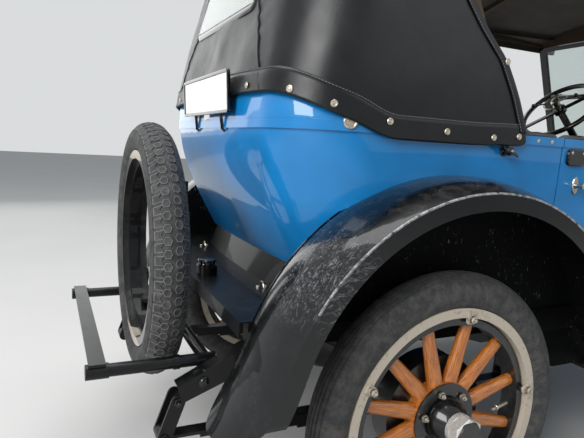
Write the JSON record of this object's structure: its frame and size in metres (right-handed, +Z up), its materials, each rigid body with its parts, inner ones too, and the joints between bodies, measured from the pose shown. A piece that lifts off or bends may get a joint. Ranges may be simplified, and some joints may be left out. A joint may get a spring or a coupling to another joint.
{
  "type": "touring car",
  "caption": "Open five-seat touring car with a fabric top, wood-spoked wheels, spare at the tail and a tubular luggage rack.",
  "frame": {"origin": "on the ground, midway along the length and on the centre line", "axes": "+Z up, the front faces -Y, +X is the car's left side"},
  "size_m": [1.67, 4.3388, 2.009],
  "materials": {
    "body_paint": "gloss enamel",
    "black_enamel": "gloss enamel",
    "lamp_enamel": "gloss enamel",
    "radiator_paint": "satin enamel",
    "chassis_steel": "satin enamel",
    "engine_iron": "rough cast",
    "wheel_steel": "gloss enamel",
    "spoke_wood": "varnished",
    "bow_wood": "oiled",
    "tyre_rubber": "moulded",
    "top_cloth": "coated cloth",
    "seat_leather": "grained",
    "steering_rim": "polished",
    "pane_glass": "clear"
  },
  "bodies": {
    "car": {"frame": "black_enamel", "springs": "chassis_steel", "rear_axle": "chassis_steel", "front_axle": "chassis_steel", "engine": "engine_iron", "body_tub": "body_paint", "cowl": "body_paint", "radiator": "radiator_paint", "seats": "seat_leather", "steering_column": "black_enamel", "windshield_frame": "black_enamel", "windshield_glass": "pane_glass", "top_cover": "top_cloth", "rear_window": "pane_glass", "top_bows": "bow_wood", "front_fenders": "black_enamel", "rear_fenders": "black_enamel", "running_boards": "black_enamel", "rear_apron": "black_enamel", "lamps": "lamp_enamel", "luggage_rack": "black_enamel", "spare_rim": "wheel_steel", "spare_tyre": "tyre_rubber"},
    "knuckle_left": {"knuckle_left": "chassis_steel"},
    "knuckle_right": {"knuckle_right": "chassis_steel"},
    "tie_rod": {"tie_rod": "chassis_steel"},
    "steering_wheel": {"steering_wheel": "steering_rim"},
    "wheel_front_left": {"wheel_wood_front_left": "spoke_wood", "wheel_metal_front_left": "wheel_steel", "tyre_front_left": "tyre_rubber"},
    "wheel_front_right": {"wheel_wood_front_right": "spoke_wood", "wheel_metal_front_right": "wheel_steel", "tyre_front_right": "tyre_rubber"},
    "wheel_rear_left": {"wheel_wood_rear_left": "spoke_wood", "wheel_metal_rear_left": "wheel_steel", "tyre_rear_left": "tyre_rubber"},
    "wheel_rear_right": {"wheel_wood_rear_right": "spoke_wood", "wheel_metal_rear_right": "wheel_steel", "tyre_rear_right": "tyre_rubber"},
    "door_front_left": {"door_front_left": "body_paint"},
    "door_front_right": {"door_front_right": "body_paint"},
    "door_rear_left": {"door_rear_left": "body_paint"},
    "door_rear_right": {"door_rear_right": "body_paint"},
    "hood_left": {"hood_left": "body_paint"},
    "hood_right": {"hood_right": "body_paint"}
  },
  "joints": [
    {"name": "steer_left", "type": "hinge", "parent": "car", "child": "knuckle_left", "pos_m": [0.625, -1.7005, 0.42], "axis": [0, 0, 1], "range_deg": [-30, 30]},
    {"name": "steer_right", "type": "hinge", "parent": "car", "child": "knuckle_right", "pos_m": [-0.625, -1.7005, 0.42], "axis": [0, 0, 1], "range_deg": [-30, 30]},
    {"name": "tie_rod_swing", "type": "hinge", "parent": "knuckle_left", "child": "tie_rod", "pos_m": [0.625, -1.5305, 0.325], "axis": [0, 0, 1], "range_deg": [-30, 30]},
    {"name": "steering_wheel_turn", "type": "hinge", "parent": "car", "child": "steering_wheel", "pos_m": [0.3, -0.3445, 1.437], "axis": [0, 0.7242, 0.6896], "range_deg": [-365, 365]},
    {"name": "spin_front_left", "type": "hinge", "parent": "knuckle_left", "child": "wheel_front_left", "pos_m": [0.708, -1.7005, 0.42], "axis": [1, 0, 0], "continuous": true},
    {"name": "spin_front_right", "type": "hinge", "parent": "knuckle_right", "child": "wheel_front_right", "pos_m": [-0.708, -1.7005, 0.42], "axis": [1, 0, 0], "continuous": true},
    {"name": "spin_rear_left", "type": "hinge", "parent": "car", "child": "wheel_rear_left", "pos_m": [0.708, 1.2455, 0.42], "axis": [1, 0, 0], "continuous": true},
    {"name": "spin_rear_right", "type": "hinge", "parent": "car", "child": "wheel_rear_right", "pos_m": [-0.708, 1.2455, 0.42], "axis": [1, 0, 0], "continuous": true},
    {"name": "door_front_left_swing", "type": "hinge", "parent": "car", "child": "door_front_left", "pos_m": [0.62502, -0.452, 0.95], "axis": [0, 0, -1], "range_deg": [0, 70]},
    {"name": "door_front_right_swing", "type": "hinge", "parent": "car", "child": "door_front_right", "pos_m": [-0.62502, -0.452, 0.95], "axis": [0, 0, 1], "range_deg": [0, 70]},
    {"name": "door_rear_left_swing", "type": "hinge", "parent": "car", "child": "door_rear_left", "pos_m": [0.66604, 0.218, 0.95], "axis": [0, 0, -1], "range_deg": [0, 70]},
    {"name": "door_rear_right_swing", "type": "hinge", "parent": "car", "child": "door_rear_right", "pos_m": [-0.66604, 0.218, 0.95], "axis": [0, 0, 1], "range_deg": [0, 70]},
    {"name": "hood_left_lift", "type": "hinge", "parent": "car", "child": "hood_left", "pos_m": [0, -1.362, 1.1645], "axis": [0, -0.9985, -0.055], "range_deg": [0, 50]},
    {"name": "hood_right_lift", "type": "hinge", "parent": "car", "child": "hood_right", "pos_m": [0, -1.362, 1.1645], "axis": [0, 0.9985, 0.055], "range_deg": [0, 50]}
  ],
  "couplings": [
    {"joint": "steer_right", "follows": "steer_left", "ratio": 1},
    {"joint": "tie_rod_swing", "follows": "steer_left", "ratio": -1},
    {"joint": "steering_wheel_turn", "follows": "steer_left", "ratio": 12}
  ]
}
